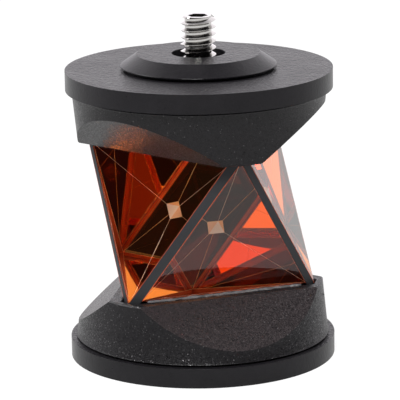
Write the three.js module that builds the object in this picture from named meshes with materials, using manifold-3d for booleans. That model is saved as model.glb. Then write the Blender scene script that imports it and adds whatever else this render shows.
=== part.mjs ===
// A 360-degree survey prism: six glass corner cubes stand back to back and look out all
// round. Together they make an octahedron that stands on one of its triangles. A lower and
// an upper housing hold its two ends, each closed by a round disc, and a threaded stud
// stands out of a conical seat on top. Millimetres, +Z up, origin under the middle of the
// base disc. Azimuth is measured from -Y towards +X.
import * as THREE from 'three';
import { ConvexGeometry } from 'three/addons/geometries/ConvexGeometry.js';
import { mergeVertices } from 'three/addons/utils/BufferGeometryUtils.js';
import Module from 'manifold-3d';

// Glass
const GLASS_RADIUS = 21.3;        // middle of an octahedron's side to its corners
const SIDE_ROOM = 0.5;            // half the space between the back faces of two neighbours
const END_ROOM = 1.85;            // the same behind the back face that looks to an end
const EDGE_TRIM = 0.46;           // width ground off each side of a front triangle
const APEX_TRIM = 1.2;            // depth ground off the corner where the back faces meet
const GLASS_SINK = 2.27;          // depth of the octahedron's end triangle below the rim

// Discs and housings
const DISC_THICKNESS = 3.5;
const DISC_CHAMFER = 0.25;
const DISC_OVERHANG = 1.19;       // how far a disc stands out of the housing's foot
const HOUSING_HEIGHT = 10.0;      // inner face of the disc to the rim
const LOBE_WALL = 0.63;           // octahedron's corner to the outside of the rim
const BODY_DRAFT = 0.88;          // how much wider the housing is at its foot than at its rim
const FOOT_CHAMFER = 0.2;
const RIM_CHAMFER = 0.25;
const LAND_WIDTH = 2.03;          // flat rim between the glass pocket and the facet
const FACET_FOOT = 2.33;          // disc to where the facet's plane comes out at the foot
const POCKET_DEPTH = 1.4;         // rim to the floor round the core
const CORE_TOP = 4.8;             // cluster's centre to the top of the core

// Soft parts
const GASKET_THICKNESS = 0.3;
const GASKET_WIDTH = 3.1;
const GASKET_SETBACK = 0.4;       // how far it stays inside the housing's foot
const PAD_START = 6.0;            // corner cube's apex to the pad's near edge, by depth
const PAD_SETBACK = 1.2;          // pad's far edge to the front face, by depth
const PAD_MARGIN = 2.0;           // back face's slanting edges to the pad, along its near edge
const BEAD_WIDTH = 0.7;
const BEAD_HEIGHT = 0.42;
const SEAL_SINK = 0.05;           // edge seal's flat below the front faces
const SEAT_GASKET_THICKNESS = 0.5;
const SEAT_GASKET_SETBACK = 0.6;

// Stud and its conical seat, bush for the pole, screws
const STUD_RADIUS = 3.175;
const STUD_LENGTH = 19.05;
const STUD_PROTRUSION = 6.75;     // above the seat's top face
const STUD_CHAMFER = 0.6;
const STUD_SOCKET_FLATS = 3.175;
const STUD_SOCKET_DEPTH = 3.2;
const SEAT_BASE_RADIUS = 14.0;
const SEAT_TOP_RADIUS = 11.1;
const SEAT_HEIGHT = 2.2;
const SEAT_LIP = 0.2;
const SEAT_RECESS_RADIUS = 4.8;
const SEAT_RECESS_DEPTH = 2.0;
const SPIGOT_RADIUS = 6.0;
const SPIGOT_WALL = 0.7;          // between the spigot and the screw heads round it
const SPIGOT_DEPTH = 4.6;         // how deep it screws into the upper housing
const BUSH_RADIUS = 6.0;
const BUSH_FLANGE_RADIUS = 8.0;
const BUSH_FLANGE_THICKNESS = 1.6;
const BUSH_SETBACK = 0.3;         // its mouth stays above the base disc's underside
const BUSH_LENGTH = 11.2;
const BUSH_BORE_RADIUS = 3.175;
const BUSH_BORE_DEPTH = 10.0;
const BUSH_MOUTH_CHAMFER = 0.6;
const SCREW_RADIUS = 1.5;
const SCREW_HEAD_RADIUS = 3.0;
const SCREW_HEAD_RIM = 0.2;
const SCREW_LENGTH = 8.0;
const SCREW_TIP = 0.4;
const SCREW_SINK = 0.2;           // head below the disc's outer face
const SCREW_SOCKET_FLATS = 2.0;
const SCREW_SOCKET_DEPTH = 1.1;

// Clearances
const SEAL_GAP = 0.06;            // edge seal to glass
const BEAD_GAP = 0.1;             // bead to the plane of the glass
const PAD_GAP = 0.1;              // pad to glass, and pad or glass to the core
const STRIP_END_GAP = 0.25;       // ends of the seals and beads to the next one
const POCKET_GAP = 0.3;           // octahedron to the wall of the pocket
const FIT_GAP = 0.1;              // turned fits: bush, spigot, gaskets, screw threads
const THREAD_GAP = 0.1;           // stud in the seat's thread
const HEAD_GAP = 0.15;            // countersunk head in its seat
const TAIL_GAP = 0.4;             // stud's tail in the housing
const END_GAP = 0.3;              // beyond the end of a screw, bush or stud
const OVERRUN = 1.0;              // how far a cutter runs past the face it opens

const ROUND = 72;                 // sides of the large turned parts
const SMALL_ROUND = 36;           // sides of the bush, stud and bores
const SCREW_ROUND = 18;           // sides of the small screws

// An octahedron's angles and proportions
const FACE_LEAN = Math.atan(1 / Math.sqrt(8));   // side face from the vertical
const EDGE_LEAN = Math.atan(1 / Math.SQRT2);     // side edge from the vertical
const HALF_FOLD = Math.PI / 2 - EDGE_LEAN;       // face to the plane that halves its edge
const THIRD = 2 * Math.PI / 3;
const SIXTH = Math.PI / 3;

const GLASS_REACH = GLASS_RADIUS / Math.SQRT2;   // centre to a front face
const APEX_AHEAD = (END_ROOM + 2 * SIDE_ROOM) / Math.sqrt(3);      // centre to apex, forwards
const APEX_SHIFT = (END_ROOM - SIDE_ROOM) * Math.sqrt(2 / 3);      // and along the front face
const PRISM_DEPTH = GLASS_REACH - APEX_AHEAD;
const PRISM_RADIUS = PRISM_DEPTH * Math.SQRT2;   // its own triangle, before trimming
const EDGE_SPACE = (GLASS_RADIUS - PRISM_RADIUS - APEX_SHIFT) / 2 + EDGE_TRIM;
const SEAL_LENGTH = Math.sqrt(3) * (GLASS_RADIUS - 2 * EDGE_SPACE) - 2 * STRIP_END_GAP;
const CORE_OUTSET = SIDE_ROOM - PAD_GAP;         // core's sides to the planes through the centre
const PAD_THICKNESS = END_ROOM - CORE_OUTSET - 2 * PAD_GAP;
const RIM_Z = DISC_THICKNESS + HOUSING_HEIGHT;
const CENTRE_Z = RIM_Z - GLASS_SINK + GLASS_REACH;
const BODY_HEIGHT = 2 * CENTRE_Z;
const RIM_RADIUS = GLASS_RADIUS + LOBE_WALL;
const FOOT_RADIUS = RIM_RADIUS + BODY_DRAFT;
const DISC_RADIUS = FOOT_RADIUS + DISC_OVERHANG;
const FOOT_Z = DISC_THICKNESS + GASKET_THICKNESS;
const GASKET_OUTER = FOOT_RADIUS - GASKET_SETBACK;
const GASKET_INNER = GASKET_OUTER - GASKET_WIDTH;
const BASE_SCREW_RING = GASKET_INNER - SCREW_HEAD_RADIUS;
const TOP_SCREW_RING = SPIGOT_RADIUS + SPIGOT_WALL + SCREW_HEAD_RADIUS;
const SEAT_Z = BODY_HEIGHT + SEAT_GASKET_THICKNESS;
const SEAT_TOP_Z = SEAT_Z + SEAT_HEIGHT;
const STUD_TOP_Z = SEAT_TOP_Z + STUD_PROTRUSION;

const wasm = await Module();
wasm.setup();

function toSolid(geometry) {
  const bare = geometry.clone();
  bare.deleteAttribute('normal');
  bare.deleteAttribute('uv');
  const merged = mergeVertices(bare, 1e-4);
  const corners = merged.index.array;
  const faces = [];
  for (let i = 0; i < corners.length; i += 3) {
    const [a, b, c] = corners.slice(i, i + 3);
    if (a !== b && b !== c && c !== a) faces.push(a, b, c);
  }
  return new wasm.Manifold(new wasm.Mesh({
    numProp: 3,
    vertProperties: merged.attributes.position.array,
    triVerts: Uint32Array.from(faces),
  }));
}

function toGeometry(solid) {
  const mesh = solid.getMesh();
  const geometry = new THREE.BufferGeometry();
  geometry.setAttribute('position', new THREE.BufferAttribute(mesh.vertProperties, 3));
  geometry.setIndex(new THREE.BufferAttribute(mesh.triVerts, 1));
  geometry.computeVertexNormals();
  return geometry;
}

function cut(geometry, cutters) {
  let solid = toSolid(geometry);
  for (const cutter of cutters) {
    solid = solid.subtract(toSolid(cutter));
  }
  return toGeometry(solid);
}

// Turns a section of [radius, z] points, listed outwards and then up, about +Z.
function turned(section, sides) {
  const points = section.map(([radius, z]) => new THREE.Vector2(radius, z));
  return new THREE.LatheGeometry(points, sides).rotateX(Math.PI / 2);
}

// A ring's section has no point on the axis, so it closes on its first point.
function turnedRing(section, sides) {
  return turned([...section, section[0]], sides);
}

function drill(radius, fromZ, toZ, sides) {
  const height = toZ - fromZ;
  const cylinder = new THREE.CylinderGeometry(radius, radius, height, sides);
  return cylinder.rotateX(Math.PI / 2).translate(0, 0, fromZ + height / 2);
}

function hexagon(flats, fromZ, toZ) {
  return drill(flats / Math.sqrt(3), fromZ, toZ, 6);
}

function aroundAxis(makeCutter, count) {
  return Array.from({ length: count }, (_, i) => makeCutter().rotateZ(2 * Math.PI * i / count));
}

// The six corners of the octahedron, each face moved out by the margin.
function octahedron(margin) {
  const reach = GLASS_REACH + margin;
  const radius = reach * Math.SQRT2;
  const corners = [];
  for (let i = 0; i < 6; i += 1) {
    const azimuth = i * SIXTH;
    const z = i % 2 === 0 ? reach : -reach;
    corners.push(new THREE.Vector3(radius * Math.sin(azimuth), -radius * Math.cos(azimuth), z));
  }
  return new ConvexGeometry(corners).translate(0, 0, CENTRE_Z);
}

// The three-sided pyramid below the corner cubes that stand on an edge, from one height to
// another. It carries the pads and fills the space under the back faces.
function pyramid(fromZ, toZ) {
  const tipZ = CENTRE_Z + CORE_OUTSET * Math.sqrt(3);
  const corners = [];
  for (const z of [fromZ, toZ]) {
    const radius = (tipZ - z) * Math.SQRT2;
    for (let i = 0; i < 3; i += 1) {
      const azimuth = SIXTH + i * THIRD;
      corners.push(new THREE.Vector3(radius * Math.sin(azimuth), -radius * Math.cos(azimuth), z));
    }
  }
  return new ConvexGeometry(corners);
}

const FACE_AT_RIM = GLASS_RADIUS / 2 + GLASS_SINK * Math.tan(FACE_LEAN);
const FACET_AT_RIM = FACE_AT_RIM + POCKET_GAP / Math.cos(FACE_LEAN) + LAND_WIDTH;
const POCKET_FLOOR_Z = RIM_Z - POCKET_DEPTH;

// A block whose underside is the facet's plane: it runs from the rim beside the glass down
// to just above the foot.
function facetCutter() {
  const run = FOOT_RADIUS - FACET_AT_RIM;
  const drop = HOUSING_HEIGHT - FACET_FOOT;
  const size = 3 * DISC_RADIUS;
  const block = new THREE.BoxGeometry(size, size, size).translate(0, 0, size / 2);
  return block.rotateX(Math.atan2(drop, run)).translate(0, -FACET_AT_RIM, RIM_Z);
}

// One housing, as it lies at the base. Its three facets are under the corner cubes that
// stand on an edge, its lobes hold the corners between them, and the core stands in the
// middle of its shallow pocket. The bores open it from the disc's side.
function housingGeometry(screwRing, screwAzimuth, bores) {
  const outside = turned([
    [0, DISC_THICKNESS],
    [GASKET_INNER - FIT_GAP, DISC_THICKNESS],
    [GASKET_INNER - FIT_GAP, FOOT_Z],
    [FOOT_RADIUS - FOOT_CHAMFER, FOOT_Z],
    [FOOT_RADIUS, FOOT_Z + FOOT_CHAMFER],
    [RIM_RADIUS, RIM_Z - RIM_CHAMFER],
    [RIM_RADIUS - RIM_CHAMFER, RIM_Z],
    [0, RIM_Z],
  ], ROUND);
  const screwHole = () => drill(
    SCREW_RADIUS + FIT_GAP,
    DISC_THICKNESS - OVERRUN,
    SCREW_SINK + SCREW_LENGTH + END_GAP,
    SCREW_ROUND,
  ).translate(0, -screwRing, 0).rotateZ(screwAzimuth);
  const pocket = toSolid(octahedron(POCKET_GAP)).trimByPlane([0, 0, 1], POCKET_FLOOR_Z);
  const shell = toSolid(cut(outside, aroundAxis(facetCutter, 3))).subtract(pocket);
  const core = toSolid(pyramid(POCKET_FLOOR_Z - OVERRUN, CENTRE_Z - CORE_TOP));
  return cut(toGeometry(shell.add(core)), [...bores, ...aroundAxis(screwHole, 3)]);
}

function lowerHousingGeometry() {
  const flangeTop = DISC_THICKNESS + BUSH_FLANGE_THICKNESS;
  const bushEnd = BUSH_SETBACK + BUSH_LENGTH + END_GAP;
  return housingGeometry(BASE_SCREW_RING, SIXTH, [
    drill(BUSH_FLANGE_RADIUS + FIT_GAP, DISC_THICKNESS - OVERRUN, flangeTop, SMALL_ROUND),
    drill(BUSH_RADIUS + FIT_GAP, DISC_THICKNESS - OVERRUN, bushEnd, SMALL_ROUND),
  ]);
}

// The stud's tail bore is deep enough for the stud to go down flush with its seat.
function upperHousingGeometry() {
  const spigotEnd = DISC_THICKNESS + SPIGOT_DEPTH + END_GAP;
  const tailEnd = STUD_LENGTH - SEAT_HEIGHT - SEAT_GASKET_THICKNESS + END_GAP;
  return housingGeometry(TOP_SCREW_RING, 0, [
    drill(SPIGOT_RADIUS + FIT_GAP, DISC_THICKNESS - OVERRUN, spigotEnd, SMALL_ROUND),
    drill(STUD_RADIUS + TAIL_GAP, DISC_THICKNESS - OVERRUN, tailEnd, SMALL_ROUND),
  ]);
}

function discGeometry(holeRadius, screwRing, screwAzimuth) {
  const ring = turnedRing([
    [holeRadius, 0],
    [DISC_RADIUS - DISC_CHAMFER, 0],
    [DISC_RADIUS, DISC_CHAMFER],
    [DISC_RADIUS, DISC_THICKNESS - DISC_CHAMFER],
    [DISC_RADIUS - DISC_CHAMFER, DISC_THICKNESS],
    [holeRadius, DISC_THICKNESS],
  ], ROUND);
  const headTop = SCREW_SINK + SCREW_HEAD_RIM;
  const shankTop = headTop + SCREW_HEAD_RADIUS - SCREW_RADIUS;
  const screwSeat = () => turned([
    [0, -OVERRUN],
    [SCREW_HEAD_RADIUS + HEAD_GAP, -OVERRUN],
    [SCREW_HEAD_RADIUS + HEAD_GAP, headTop],
    [SCREW_RADIUS + HEAD_GAP, shankTop],
    [SCREW_RADIUS + HEAD_GAP, DISC_THICKNESS + OVERRUN],
    [0, DISC_THICKNESS + OVERRUN],
  ], SCREW_ROUND).translate(0, -screwRing, 0).rotateZ(screwAzimuth);
  return cut(ring, aroundAxis(screwSeat, 3));
}

function screwGeometry() {
  const shankTop = SCREW_HEAD_RIM + SCREW_HEAD_RADIUS - SCREW_RADIUS;
  const blank = turned([
    [0, 0],
    [SCREW_HEAD_RADIUS, 0],
    [SCREW_HEAD_RADIUS, SCREW_HEAD_RIM],
    [SCREW_RADIUS, shankTop],
    [SCREW_RADIUS, SCREW_LENGTH - SCREW_TIP],
    [SCREW_RADIUS - SCREW_TIP, SCREW_LENGTH],
    [0, SCREW_LENGTH],
  ], SCREW_ROUND);
  return cut(blank, [hexagon(SCREW_SOCKET_FLATS, -OVERRUN, SCREW_SOCKET_DEPTH)]);
}

function gasketGeometry() {
  return turnedRing([
    [GASKET_INNER, DISC_THICKNESS],
    [GASKET_OUTER, DISC_THICKNESS],
    [GASKET_OUTER, FOOT_Z],
    [GASKET_INNER, FOOT_Z],
  ], ROUND);
}

// The thin rubber pad behind one corner cube, on the back face that looks to an end, in the
// same place as prismGeometry has the glass.
function padGeometry() {
  const corners = [];
  for (const layer of [PAD_GAP, PAD_GAP + PAD_THICKNESS]) {
    for (const depth of [PAD_START, PRISM_DEPTH - PAD_SETBACK]) {
      for (const side of [-1, 1]) {
        const across = side * (depth * Math.sqrt(3 / 2) - PAD_MARGIN);
        const along = APEX_SHIFT - depth / Math.SQRT2 - layer * Math.sqrt(2 / 3);
        const forwards = APEX_AHEAD + depth - layer / Math.sqrt(3);
        corners.push(new THREE.Vector3(across, along, forwards));
      }
    }
  }
  return new ConvexGeometry(corners);
}

// Threaded brass bush for the pole: a blind bore from below, and a flange that the base
// disc traps in the housing.
function bushGeometry() {
  const mouthRadius = BUSH_BORE_RADIUS + BUSH_MOUTH_CHAMFER;
  const top = BUSH_SETBACK + BUSH_LENGTH;
  return turned([
    [0, BUSH_SETBACK + BUSH_BORE_DEPTH],
    [BUSH_BORE_RADIUS, BUSH_SETBACK + BUSH_BORE_DEPTH],
    [BUSH_BORE_RADIUS, BUSH_SETBACK + BUSH_MOUTH_CHAMFER],
    [mouthRadius, BUSH_SETBACK],
    [BUSH_RADIUS, BUSH_SETBACK],
    [BUSH_RADIUS, DISC_THICKNESS],
    [BUSH_FLANGE_RADIUS, DISC_THICKNESS],
    [BUSH_FLANGE_RADIUS, DISC_THICKNESS + BUSH_FLANGE_THICKNESS],
    [BUSH_RADIUS, DISC_THICKNESS + BUSH_FLANGE_THICKNESS],
    [BUSH_RADIUS, top],
    [0, top],
  ], SMALL_ROUND);
}

// One corner cube, looking along +Z from the cluster's centre at the origin, with one corner
// of its front triangle towards +Y. Its edges are trimmed square to the front face.
function prismGeometry() {
  const trimmedRadius = PRISM_RADIUS - 2 * EDGE_TRIM;
  const rings = [
    [trimmedRadius, GLASS_REACH],
    [trimmedRadius, APEX_AHEAD + trimmedRadius / Math.SQRT2],
    [APEX_TRIM * Math.SQRT2, APEX_AHEAD + APEX_TRIM],
  ];
  const corners = [];
  for (const [radius, depth] of rings) {
    for (let i = 0; i < 3; i += 1) {
      const angle = Math.PI / 2 + i * THIRD;
      const across = radius * Math.cos(angle);
      const along = APEX_SHIFT + radius * Math.sin(angle);
      corners.push(new THREE.Vector3(across, along, depth));
    }
  }
  return new ConvexGeometry(corners);
}

// The black strip in the groove between two corner cubes, along Z, with its flat towards -Y.
// It narrows inwards between the ground edges of the glass.
function sealGeometry() {
  const edgeReach = GLASS_RADIUS * Math.cos(Math.PI / 6);
  const [slopeX, slopeY] = [Math.sin(HALF_FOLD), Math.cos(HALF_FOLD)];
  const flatX = (EDGE_SPACE - SEAL_GAP) * slopeX - SEAL_SINK * slopeY;
  const flatY = (EDGE_SPACE - SEAL_GAP) * slopeY + SEAL_SINK * slopeX - edgeReach;
  const rootX = SIDE_ROOM - SEAL_GAP;
  const rootY = flatY + (flatX - rootX) * Math.tan(HALF_FOLD);
  const section = new THREE.Shape([
    new THREE.Vector2(flatX, flatY),
    new THREE.Vector2(rootX, rootY),
    new THREE.Vector2(-rootX, rootY),
    new THREE.Vector2(-flatX, flatY),
  ]);
  const strip = new THREE.ExtrudeGeometry(section, { depth: SEAL_LENGTH, bevelEnabled: false });
  return strip.translate(0, 0, -SEAL_LENGTH / 2);
}

// The bead of sealant on the rim under the glass, as it lies on the lower housing.
function beadGeometry() {
  const foot = FACE_AT_RIM + BEAD_GAP / Math.cos(FACE_LEAN);
  const section = new THREE.Shape([
    new THREE.Vector2(foot, 0),
    new THREE.Vector2(foot + BEAD_WIDTH, 0),
    new THREE.Vector2(foot + BEAD_HEIGHT * Math.tan(FACE_LEAN), BEAD_HEIGHT),
  ]);
  const height = (GLASS_SINK + BEAD_HEIGHT) / Math.cos(FACE_LEAN);
  const length = SEAL_LENGTH - 2 * height * Math.tan(Math.PI / 6);
  const strip = new THREE.ExtrudeGeometry(section, { depth: length, bevelEnabled: false });
  return strip.translate(0, 0, -length / 2).rotateX(Math.PI / 2).rotateZ(-Math.PI / 2);
}

function seatGasketGeometry() {
  const outer = SEAT_BASE_RADIUS - SEAT_GASKET_SETBACK;
  return turnedRing([
    [SPIGOT_RADIUS + FIT_GAP, BODY_HEIGHT],
    [outer, BODY_HEIGHT],
    [outer, SEAT_Z],
    [SPIGOT_RADIUS + FIT_GAP, SEAT_Z],
  ], ROUND);
}

function seatGeometry() {
  const recessZ = SEAT_TOP_Z - SEAT_RECESS_DEPTH;
  const boreRadius = STUD_RADIUS + THREAD_GAP;
  const spigotZ = BODY_HEIGHT - DISC_THICKNESS - SPIGOT_DEPTH;
  return turnedRing([
    [boreRadius, spigotZ],
    [SPIGOT_RADIUS, spigotZ],
    [SPIGOT_RADIUS, SEAT_Z],
    [SEAT_BASE_RADIUS, SEAT_Z],
    [SEAT_BASE_RADIUS, SEAT_Z + SEAT_LIP],
    [SEAT_TOP_RADIUS, SEAT_TOP_Z],
    [SEAT_RECESS_RADIUS, SEAT_TOP_Z],
    [SEAT_RECESS_RADIUS, recessZ],
    [boreRadius, recessZ],
  ], ROUND);
}

function studGeometry() {
  const footZ = STUD_TOP_Z - STUD_LENGTH;
  const blank = turned([
    [0, footZ],
    [STUD_RADIUS - STUD_CHAMFER, footZ],
    [STUD_RADIUS, footZ + STUD_CHAMFER],
    [STUD_RADIUS, STUD_TOP_Z - STUD_CHAMFER],
    [STUD_RADIUS - STUD_CHAMFER, STUD_TOP_Z],
    [0, STUD_TOP_Z],
  ], SMALL_ROUND);
  return cut(blank, [
    hexagon(STUD_SOCKET_FLATS, STUD_TOP_Z - STUD_SOCKET_DEPTH, STUD_TOP_Z + OVERRUN),
  ]);
}

function finish(colour, roughness, metalness) {
  return new THREE.MeshStandardMaterial({ color: colour, roughness, metalness });
}

const anodised = () => finish(0x1c1b1e, 0.35, 0.9);
const castPaint = () => finish(0x232225, 0.55, 0.1);
const rubber = () => finish(0x18181a, 0.85, 0.0);
const sealant = () => finish(0x3a393c, 0.7, 0.0);
const steel = () => finish(0xb9b7b4, 0.25, 1.0);
const brass = () => finish(0xb08d4a, 0.3, 1.0);
const opticalGlass = () => finish(0xe0622c, 0.05, 0.0);

function piece(name, geometry, material) {
  const mesh = new THREE.Mesh(geometry, material);
  mesh.name = name;
  return mesh;
}

// Six corner cubes about the centre, each with its pad: the odd ones stand on an edge and
// the even ones on a corner, with a seal in each groove between two of them.
function glassCluster() {
  const cluster = new THREE.Group();
  cluster.position.z = CENTRE_Z;
  for (let i = 0; i < 6; i += 1) {
    const standsOnEdge = i % 2 === 0;
    const side = new THREE.Group();
    side.rotation.z = i * SIXTH;
    const tilted = new THREE.Group();
    tilted.rotation.x = Math.PI / 2 + (standsOnEdge ? FACE_LEAN : -FACE_LEAN);
    tilted.rotation.z = standsOnEdge ? 0 : Math.PI;
    tilted.add(piece(`prism_${i + 1}`, prismGeometry(), opticalGlass()));
    tilted.add(piece(`prism_pad_${i + 1}`, padGeometry(), rubber()));
    side.add(tilted);
    cluster.add(side);

    const groove = new THREE.Group();
    groove.rotation.z = (i + 0.5) * SIXTH;
    const seal = piece(`edge_seal_${i + 1}`, sealGeometry(), rubber());
    seal.rotation.y = standsOnEdge ? -EDGE_LEAN : EDGE_LEAN;
    groove.add(seal);
    cluster.add(groove);
  }
  return cluster;
}

// What both ends share, as it lies at the base: gasket, three screws and three beads, each
// bead with the number of the corner cube that it seals.
function endParts(end, beadNumbers, screwName, screwRing, screwAzimuth) {
  const group = new THREE.Group();
  group.add(piece(`${end}_gasket`, gasketGeometry(), rubber()));
  for (let i = 0; i < 3; i += 1) {
    const screw = piece(`${screwName}_${i + 1}`, screwGeometry(), steel());
    const azimuth = screwAzimuth + i * THIRD;
    const across = screwRing * Math.sin(azimuth);
    const along = -screwRing * Math.cos(azimuth);
    screw.position.set(across, along, SCREW_SINK);
    screw.rotation.z = azimuth;
    group.add(screw);

    const bead = piece(`face_bead_${beadNumbers[i]}`, beadGeometry(), sealant());
    bead.position.z = RIM_Z;
    bead.rotation.z = i * THIRD;
    group.add(bead);
  }
  return group;
}

function lowerEnd() {
  const group = endParts('lower', [1, 3, 5], 'base_screw', BASE_SCREW_RING, SIXTH);
  const disc = discGeometry(BUSH_RADIUS + FIT_GAP, BASE_SCREW_RING, SIXTH);
  group.add(piece('base_disc', disc, anodised()));
  group.add(piece('lower_housing', lowerHousingGeometry(), castPaint()));
  group.add(piece('base_bush', bushGeometry(), brass()));
  return group;
}

// The upper end is the lower one turned over about the X axis, which brings its facets over
// the corner cubes that stand on a corner.
function upperEnd() {
  const group = endParts('upper', [4, 2, 6], 'top_screw', TOP_SCREW_RING, 0);
  const disc = discGeometry(SPIGOT_RADIUS + FIT_GAP, TOP_SCREW_RING, 0);
  group.add(piece('top_disc', disc, anodised()));
  group.add(piece('upper_housing', upperHousingGeometry(), castPaint()));
  group.rotation.x = Math.PI;
  group.position.z = BODY_HEIGHT;
  return group;
}

const surveyPrism = new THREE.Group();
surveyPrism.add(lowerEnd());
surveyPrism.add(glassCluster());
surveyPrism.add(upperEnd());
surveyPrism.add(piece('seat_gasket', seatGasketGeometry(), rubber()));
surveyPrism.add(piece('stud_seat', seatGeometry(), anodised()));
surveyPrism.add(piece('stud', studGeometry(), steel()));

export default surveyPrism;
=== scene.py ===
# A 360-degree survey prism, put together from its base up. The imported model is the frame:
# lengths are metres, the axis is Z, and the prism stands on the floor at z = 0.
import math

import bpy
from mathutils import Matrix, Vector


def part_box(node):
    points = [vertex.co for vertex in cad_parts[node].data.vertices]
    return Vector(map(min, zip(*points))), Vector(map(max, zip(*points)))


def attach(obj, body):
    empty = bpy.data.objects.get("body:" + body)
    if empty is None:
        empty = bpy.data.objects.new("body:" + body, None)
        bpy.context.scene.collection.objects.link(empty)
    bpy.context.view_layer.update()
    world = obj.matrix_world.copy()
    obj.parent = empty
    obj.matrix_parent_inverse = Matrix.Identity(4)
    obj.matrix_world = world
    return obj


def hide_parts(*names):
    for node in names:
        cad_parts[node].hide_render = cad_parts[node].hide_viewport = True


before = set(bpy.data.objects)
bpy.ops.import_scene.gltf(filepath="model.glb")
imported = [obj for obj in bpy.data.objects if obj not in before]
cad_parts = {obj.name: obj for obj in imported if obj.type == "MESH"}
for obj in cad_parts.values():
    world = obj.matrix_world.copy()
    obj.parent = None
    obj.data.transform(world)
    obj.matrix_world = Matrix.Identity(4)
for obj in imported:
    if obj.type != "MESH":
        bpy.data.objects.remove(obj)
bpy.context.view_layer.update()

bpy.ops.object.select_all(action="DESELECT")


# The camera, which looks at the middle of the prism from a little above, with a long lens,
# and leans over by less than a degree.
body_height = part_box("top_disc")[1].z
view_turn = math.radians(-20.22)
view_rise = math.radians(13.786)
view_distance = 10.404 * body_height
aim_height = 0.5354 * body_height
aim_left = 0.000148
camera_lean = math.radians(-0.933)
camera_side = Vector((math.cos(view_turn), math.sin(view_turn), 0.0))
towards_camera = Vector((
    math.sin(view_turn) * math.cos(view_rise),
    -math.cos(view_turn) * math.cos(view_rise),
    math.sin(view_rise),
))
aim = Vector((0.0, 0.0, aim_height)) - aim_left * camera_side
bpy.ops.object.camera_add(location=aim + view_distance * towards_camera)
camera = bpy.context.object
camera.rotation_mode = "QUATERNION"
roll = Matrix.Rotation(camera_lean, 3, "Z").to_quaternion()
camera.rotation_quaternion = (-towards_camera).to_track_quat("-Z", "Y") @ roll
camera.data.lens = 272.4
camera.data.sensor_width = 36.0
camera.data.clip_start = 0.01
camera.data.clip_end = 20.0
bpy.context.scene.camera = camera
bpy.context.scene.view_settings.view_transform = "Standard"


# The floor: a pale studio sheet. Looked at directly, or in metal or glass, it is nearly
# white, with the soft shadow of the prism on it.
def add_node(tree, kind, inputs=None, **settings):
    node = tree.nodes.new(kind)
    for name, value in settings.items():
        setattr(node, name, value)
    for name, value in (inputs or {}).items():
        if isinstance(value, bpy.types.NodeSocket):
            tree.links.new(value, node.inputs[name])
        else:
            node.inputs[name].default_value = value
    return node


def seen_directly(tree):
    path = add_node(tree, "ShaderNodeLightPath")
    glossy = add_node(tree, "ShaderNodeMath", operation="MAXIMUM")
    tree.links.new(path.outputs["Is Glossy Ray"], glossy.inputs[0])
    tree.links.new(path.outputs["Is Transmission Ray"], glossy.inputs[1])
    either = add_node(tree, "ShaderNodeMath", operation="MAXIMUM")
    tree.links.new(path.outputs["Is Camera Ray"], either.inputs[0])
    tree.links.new(glossy.outputs[0], either.inputs[1])
    return either.outputs[0]


bpy.ops.mesh.primitive_grid_add(x_subdivisions=8, y_subdivisions=8, size=1.0)
floor = bpy.context.object
floor.name = "studio_floor"
sheet = bpy.data.materials.new("studio_sheet")
sheet.use_nodes = True
sheet_tree = sheet.node_tree
sheet_shader = sheet_tree.nodes["Principled BSDF"]
sheet_shader.inputs["Base Color"].default_value = (0.86, 0.86, 0.86, 1.0)
sheet_shader.inputs["Roughness"].default_value = 0.9
sheet_shader.inputs["Specular IOR Level"].default_value = 0.0
sheet_glow = add_node(sheet_tree, "ShaderNodeEmission", {"Strength": 1.0})
sheet_share = add_node(sheet_tree, "ShaderNodeMath", operation="MULTIPLY")
sheet_tree.links.new(seen_directly(sheet_tree), sheet_share.inputs[0])
sheet_share.inputs[1].default_value = 0.9
sheet_mix = add_node(sheet_tree, "ShaderNodeMixShader", {"Fac": sheet_share.outputs[0]})
sheet_tree.links.new(sheet_shader.outputs["BSDF"], sheet_mix.inputs[1])
sheet_tree.links.new(sheet_glow.outputs["Emission"], sheet_mix.inputs[2])
sheet_end = sheet_tree.nodes["Material Output"]
sheet_tree.links.new(sheet_mix.outputs["Shader"], sheet_end.inputs["Surface"])
floor.data.materials.append(sheet)


# The studio round it: white to the eye. What the metal and the glass see is white behind
# and beside the prism, with a trace of violet, and falls off to the dark end of the room
# where the camera stands.
world = bpy.data.worlds.new("studio")
bpy.context.scene.world = world
world.use_nodes = True
room = world.node_tree
direction = add_node(room, "ShaderNodeTexCoord")
facing = add_node(room, "ShaderNodeVectorMath", operation="DOT_PRODUCT")
facing.inputs[1].default_value = (math.sin(view_turn), -math.cos(view_turn), 0.3)
room.links.new(direction.outputs["Generated"], facing.inputs[0])
falloff = add_node(
    room,
    "ShaderNodeMapRange",
    {
        "Value": facing.outputs["Value"],
        "From Min": -0.6,
        "From Max": 0.25,
        "To Min": 1.5,
        "To Max": 0.012,
    },
    interpolation_type="SMOOTHSTEP",
)
room_path = add_node(room, "ShaderNodeLightPath")
seen = add_node(
    room,
    "ShaderNodeMix",
    {"Factor": room_path.outputs["Is Camera Ray"], "A": falloff.outputs["Result"], "B": 1.0},
    data_type="FLOAT",
)
tint = add_node(room, "ShaderNodeMix", data_type="RGBA")
room.links.new(room_path.outputs["Is Camera Ray"], tint.inputs[0])
tint.inputs[6].default_value = (1.0, 0.965, 1.01, 1.0)
tint.inputs[7].default_value = (1.0, 1.0, 1.0, 1.0)
background = room.nodes["Background"]
room.links.new(tint.outputs[2], background.inputs["Color"])
room.links.new(seen.outputs["Result"], background.inputs["Strength"])


# Three softboxes, all high up: one on the left and one on the right, behind the prism's
# shoulders, and one in front. Light may go round several corner cubes in turn.
softbox_distance = 0.9


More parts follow.
